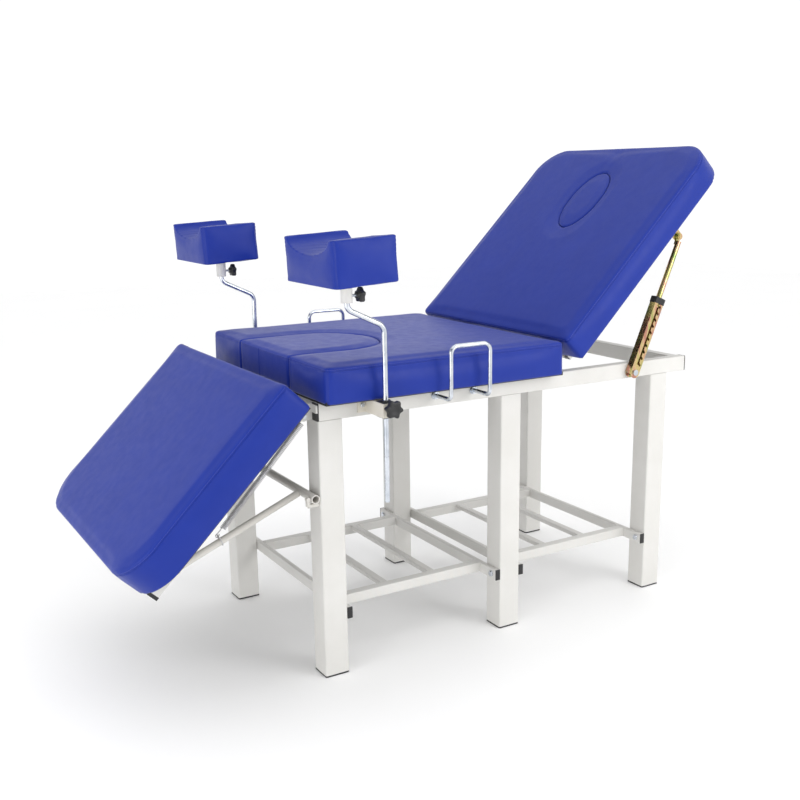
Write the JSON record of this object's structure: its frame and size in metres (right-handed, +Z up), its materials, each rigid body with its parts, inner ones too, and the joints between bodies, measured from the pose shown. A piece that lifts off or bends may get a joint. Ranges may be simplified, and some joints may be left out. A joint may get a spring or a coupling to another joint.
{
  "type": "medical exam table",
  "caption": "Gynaecological exam table on a steel frame, with reclining backrest, drop-down leg section, lift-out seat insert, knee supports on rods, side handles and shelves.",
  "frame": {"origin": "centre of the bounding box at rest, on the floor", "axes": "+X towards the head end, +Y towards the far side, +Z up"},
  "size_m": [1.6414, 0.964, 1.2094],
  "materials": {
    "frame_paint": "satin off-white powder coat",
    "clamp_paint": "satin cream powder coat",
    "prop_paint": "satin grey-beige paint",
    "blue_cover": "soft sheen, fine grain synthetic leather",
    "board": "plywood under a black lining cloth",
    "black_plastic": "moulded black",
    "zinc_steel": "bright zinc plate",
    "yellow_zinc": "yellow passivated zinc plate",
    "spring_steel": "plain wound wire"
  },
  "bodies": {
    "frame": {"foot_legs": "frame_paint", "middle_legs": "frame_paint", "head_legs": "frame_paint", "leg_feet": "black_plastic", "side_rail_near": "frame_paint", "side_rail_far": "frame_paint", "rail_end_caps": "black_plastic", "cross_rails": "frame_paint", "seat_board": "board", "seat_cushion": "blue_cover", "backrest_hinge_lugs": "frame_paint", "leg_hinge_lugs": "frame_paint", "clamp_brackets": "clamp_paint", "clamp_blocks": "black_plastic", "clamp_screws": "zinc_steel", "side_handle_near": "zinc_steel", "side_handle_far": "zinc_steel", "handle_nuts": "zinc_steel", "shelf_cross_tubes": "frame_paint", "shelf_long_rails": "frame_paint", "shelf_slats": "frame_paint", "shelf_end_caps": "black_plastic", "shelf_bolts": "zinc_steel", "prop_pegs": "prop_paint", "spring_tabs": "frame_paint", "strut_anchor_pins": "zinc_steel"},
    "seat_insert": {"seat_insert": "blue_cover"},
    "backrest": {"backrest_frame": "frame_paint", "backrest_board": "board", "backrest_cushion": "blue_cover", "backrest_hinge_ears": "frame_paint", "backrest_hinge_pins": "zinc_steel", "strut_brackets": "yellow_zinc"},
    "face_plug": {"face_plug_cushion": "blue_cover", "face_plug_spigot": "board"},
    "strut_channel_near": {"strut_channel_near": "yellow_zinc"},
    "strut_channel_far": {"strut_channel_far": "yellow_zinc"},
    "strut_tube_near": {"strut_tube_near": "yellow_zinc"},
    "strut_tube_far": {"strut_tube_far": "yellow_zinc"},
    "leg_section": {"leg_section_frame": "frame_paint", "leg_section_board": "board", "leg_section_cushion": "blue_cover", "leg_frame_caps": "black_plastic", "leg_hinge_ears": "frame_paint", "leg_hinge_pins": "zinc_steel"},
    "leg_prop": {"prop_frame": "prop_paint", "prop_rollers": "black_plastic"},
    "prop_springs": {"prop_springs": "spring_steel"},
    "guide_sleeve_near": {"guide_sleeve_near": "black_plastic"},
    "knee_rod_near": {"knee_rod_near": "zinc_steel"},
    "knee_pad_near": {"pad_socket_near": "frame_paint", "knee_pad_near": "blue_cover"},
    "clamp_knob_near": {"clamp_knob_near": "black_plastic"},
    "pad_knob_near": {"pad_knob_near": "black_plastic"},
    "guide_sleeve_far": {"guide_sleeve_far": "black_plastic"},
    "knee_rod_far": {"knee_rod_far": "zinc_steel"},
    "knee_pad_far": {"pad_socket_far": "frame_paint", "knee_pad_far": "blue_cover"},
    "clamp_knob_far": {"clamp_knob_far": "black_plastic"},
    "pad_knob_far": {"pad_knob_far": "black_plastic"}
  },
  "joints": [
    {"name": "backrest_hinge", "type": "hinge", "parent": "frame", "child": "backrest", "pos_m": [0.30295, 0, 0.7], "axis": [0, -1, 0], "range_deg": [-44.8, 0]},
    {"name": "face_plug_lift", "type": "slide", "parent": "backrest", "child": "face_plug", "axis": [-0.7046, 0, 0.7096], "range_m": [0, 0.12]},
    {"name": "seat_insert_lift", "type": "slide", "parent": "frame", "child": "seat_insert", "axis": [0, 0, 1], "range_m": [0, 0.12]},
    {"name": "leg_section_hinge", "type": "hinge", "parent": "frame", "child": "leg_section", "pos_m": [-0.38605, 0, 0.62], "axis": [0, 1, 0], "range_deg": [0, 45]},
    {"name": "prop_hinge", "type": "hinge", "parent": "frame", "child": "leg_prop", "pos_m": [-0.37705, 0, 0.435], "axis": [0, 1, 0], "range_deg": [0, 53.83]},
    {"name": "spring_hinge", "type": "hinge", "parent": "frame", "child": "prop_springs", "pos_m": [-0.35805, 0, 0.606], "axis": [0, 1, 0], "range_deg": [0, 33.4], "deforming": ["prop_springs"]},
    {"name": "strut_pivot_near", "type": "hinge", "parent": "frame", "child": "strut_channel_near", "pos_m": [0.53945, -0.312, 0.6277], "axis": [0, -1, 0], "range_deg": [-68.1, 0]},
    {"name": "strut_slide_near", "type": "slide", "parent": "strut_channel_near", "child": "strut_tube_near", "axis": [0.4003, 0, 0.9164], "range_m": [-0.1462, 0]},
    {"name": "knee_swivel_near", "type": "hinge", "parent": "frame", "child": "guide_sleeve_near", "pos_m": [-0.23205, -0.364, 0.631], "axis": [0, 0, 1], "range_deg": [-100, 100]},
    {"name": "knee_height_near", "type": "slide", "parent": "guide_sleeve_near", "child": "knee_rod_near", "axis": [0, 0, 1], "range_m": [-0.06, 0.15]},
    {"name": "pad_swivel_near", "type": "hinge", "parent": "knee_rod_near", "child": "knee_pad_near", "pos_m": [-0.32105, -0.364, 0.9], "axis": [0, 0, 1], "continuous": true},
    {"name": "clamp_knob_turn_near", "type": "hinge", "parent": "frame", "child": "clamp_knob_near", "pos_m": [-0.23205, -0.392, 0.64], "axis": [0, -1, 0], "continuous": true},
    {"name": "pad_knob_turn_near", "type": "hinge", "parent": "knee_pad_near", "child": "pad_knob_near", "pos_m": [-0.29105, -0.364, 0.889], "axis": [1, 0, 0], "continuous": true},
    {"name": "strut_pivot_far", "type": "hinge", "parent": "frame", "child": "strut_channel_far", "pos_m": [0.53945, 0.312, 0.6277], "axis": [0, -1, 0], "range_deg": [-68.1, 0]},
    {"name": "strut_slide_far", "type": "slide", "parent": "strut_channel_far", "child": "strut_tube_far", "axis": [0.4003, 0, 0.9164], "range_m": [-0.1462, 0]},
    {"name": "knee_swivel_far", "type": "hinge", "parent": "frame", "child": "guide_sleeve_far", "pos_m": [-0.23205, 0.364, 0.631], "axis": [0, 0, 1], "range_deg": [-100, 100]},
    {"name": "knee_height_far", "type": "slide", "parent": "guide_sleeve_far", "child": "knee_rod_far", "axis": [0, 0, 1], "range_m": [-0.06, 0.15]},
    {"name": "pad_swivel_far", "type": "hinge", "parent": "knee_rod_far", "child": "knee_pad_far", "pos_m": [-0.32105, 0.364, 0.9], "axis": [0, 0, 1], "continuous": true},
    {"name": "clamp_knob_turn_far", "type": "hinge", "parent": "frame", "child": "clamp_knob_far", "pos_m": [-0.23205, 0.392, 0.64], "axis": [0, 1, 0], "continuous": true},
    {"name": "pad_knob_turn_far", "type": "hinge", "parent": "knee_pad_far", "child": "pad_knob_far", "pos_m": [-0.29105, 0.364, 0.889], "axis": [1, 0, 0], "continuous": true}
  ],
  "couplings": [
    {"joint": "prop_hinge", "follows": "leg_section_hinge", "ratio": 1.195},
    {"joint": "spring_hinge", "follows": "leg_section_hinge", "ratio": 0.741},
    {"joint": "strut_pivot_near", "follows": "backrest_hinge", "ratio": 1.5192},
    {"joint": "strut_slide_near", "follows": "backrest_hinge", "m_per_rad": 0.18672},
    {"joint": "strut_pivot_far", "follows": "backrest_hinge", "ratio": 1.5192},
    {"joint": "strut_slide_far", "follows": "backrest_hinge", "m_per_rad": 0.18672}
  ]
}
